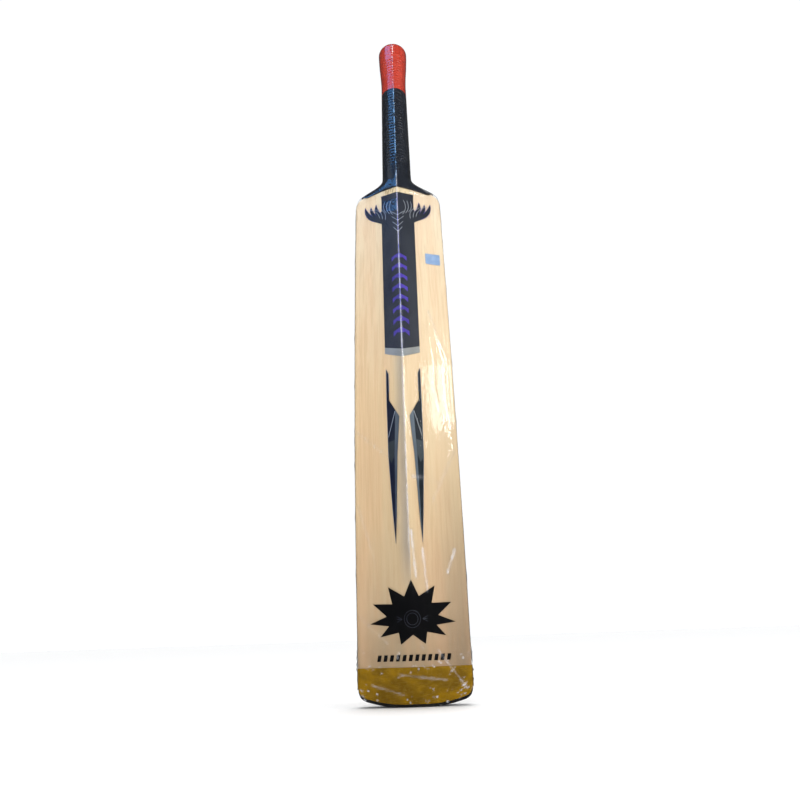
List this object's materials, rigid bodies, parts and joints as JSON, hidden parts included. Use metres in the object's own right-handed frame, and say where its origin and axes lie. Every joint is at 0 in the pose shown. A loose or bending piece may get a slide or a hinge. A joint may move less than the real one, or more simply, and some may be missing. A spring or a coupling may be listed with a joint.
{
  "type": "cricket bat",
  "caption": "Full-size short-handle cricket bat with a spined willow blade, spliced cane handle, rubber grips, stickers and a clear shrink-film sleeve.",
  "frame": {"origin": "centre of the small flat under the toe guard", "axes": "+Z from the toe to the end of the handle, +Y the way the hitting face looks, the spined back faces -Y, +X across the blade"},
  "size_m": [0.1102, 0.1049, 0.8532],
  "materials": {
    "willow": "smooth pale sanded wood with a straight lengthwise grain",
    "cane": "satin cane with a fine lengthwise fibre",
    "handle_rubber": "matt",
    "twine": "waxed thread wound side by side",
    "black_grip": "ribbed, satin",
    "red_grip": "ribbed, satin",
    "guard_rubber": "matt",
    "mustard_band": "mustard, glossy",
    "black_sticker": "black printed sticker with silver lines and violet marks",
    "flash_sticker": "black and charcoal printed sticker",
    "blue_sticker": "pale blue paper label",
    "clear_film": "clear wrinkled shrink film, see-through"
  },
  "bodies": {
    "root": {"blade": "willow", "cane_back_left": "cane", "cane_back_centre": "cane", "cane_back_right": "cane", "cane_middle_left": "cane", "cane_middle_centre": "cane", "cane_middle_right": "cane", "cane_front_left": "cane", "cane_front_centre": "cane", "cane_front_right": "cane", "rubber_insert_back": "handle_rubber", "rubber_insert_front": "handle_rubber", "twine_binding": "twine", "grip_lower": "black_grip", "grip_upper": "red_grip", "toe_guard": "guard_rubber", "toe_band": "mustard_band", "back_label": "black_sticker", "flash_right": "flash_sticker", "flash_left": "flash_sticker", "toe_emblem": "black_sticker", "caption_strip": "black_sticker", "price_sticker": "blue_sticker", "film_sleeve": "clear_film"}
  },
  "joints": []
}
